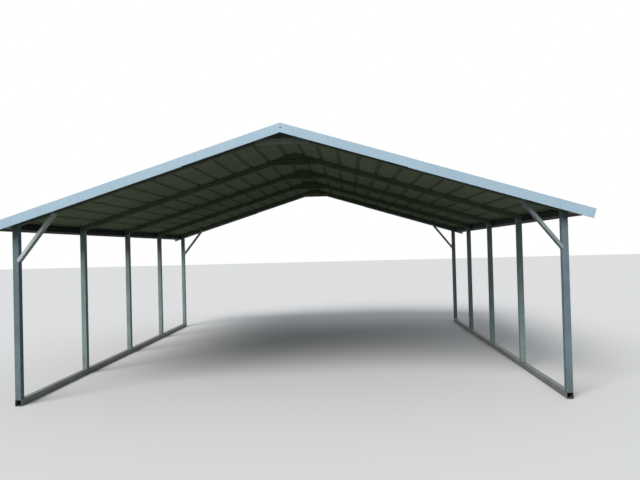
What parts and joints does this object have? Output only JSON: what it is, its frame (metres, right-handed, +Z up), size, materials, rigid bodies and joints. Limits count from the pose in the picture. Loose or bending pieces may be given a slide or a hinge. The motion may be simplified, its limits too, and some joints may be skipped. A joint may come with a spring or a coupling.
{
  "type": "open carport",
  "caption": "Open carport: bent square-tube bows on posts and ground rails, channel braces, and a low gable roof of ribbed steel sheet with folded trim.",
  "frame": {"origin": "middle of the plan, on the ground under the rails", "axes": "+X across the gable to the right seen from the front, +Y from the front gable to the back along the ridge, +Z up"},
  "size_m": [5.91, 6.4008, 2.7219],
  "materials": {
    "tube": "dull galvanised, faint spangle, rust specks at the cut ends",
    "brace": "galvanised strip, a little brighter than the tube",
    "sheet": "pale blue-grey bare sheet, duller on the underside",
    "trim": "pale blue-grey folded sheet, satin"
  },
  "bodies": {
    "root": {"base_rail_left": "tube", "base_rail_right": "tube", "rail_sleeves": "tube", "post_left_1": "tube", "post_left_2": "tube", "post_left_3": "tube", "post_left_4": "tube", "post_left_5": "tube", "post_right_1": "tube", "post_right_2": "tube", "post_right_3": "tube", "post_right_4": "tube", "post_right_5": "tube", "eave_tubes": "tube", "roof_bow_1": "tube", "roof_bow_2": "tube", "roof_bow_3": "tube", "roof_bow_4": "tube", "roof_bow_5": "tube", "collar_brace_1": "brace", "collar_brace_2": "brace", "collar_brace_3": "brace", "collar_brace_4": "brace", "collar_brace_5": "brace", "knee_brace_front_left": "brace", "knee_brace_front_right": "brace", "knee_brace_back_left": "brace", "knee_brace_back_right": "brace", "roof_sheet_ridge": "sheet", "roof_sheet_left_upper": "sheet", "roof_sheet_left_middle": "sheet", "roof_sheet_left_lower": "sheet", "roof_sheet_right_upper": "sheet", "roof_sheet_right_middle": "sheet", "roof_sheet_right_lower": "sheet", "rake_trim_front_left_upper": "trim", "rake_trim_front_left_lower": "trim", "rake_trim_front_right_upper": "trim", "rake_trim_front_right_lower": "trim", "rake_trim_back_left_upper": "trim", "rake_trim_back_left_lower": "trim", "rake_trim_back_right_upper": "trim", "rake_trim_back_right_lower": "trim", "eave_trim_left": "trim", "eave_trim_right": "trim"}
  },
  "joints": []
}
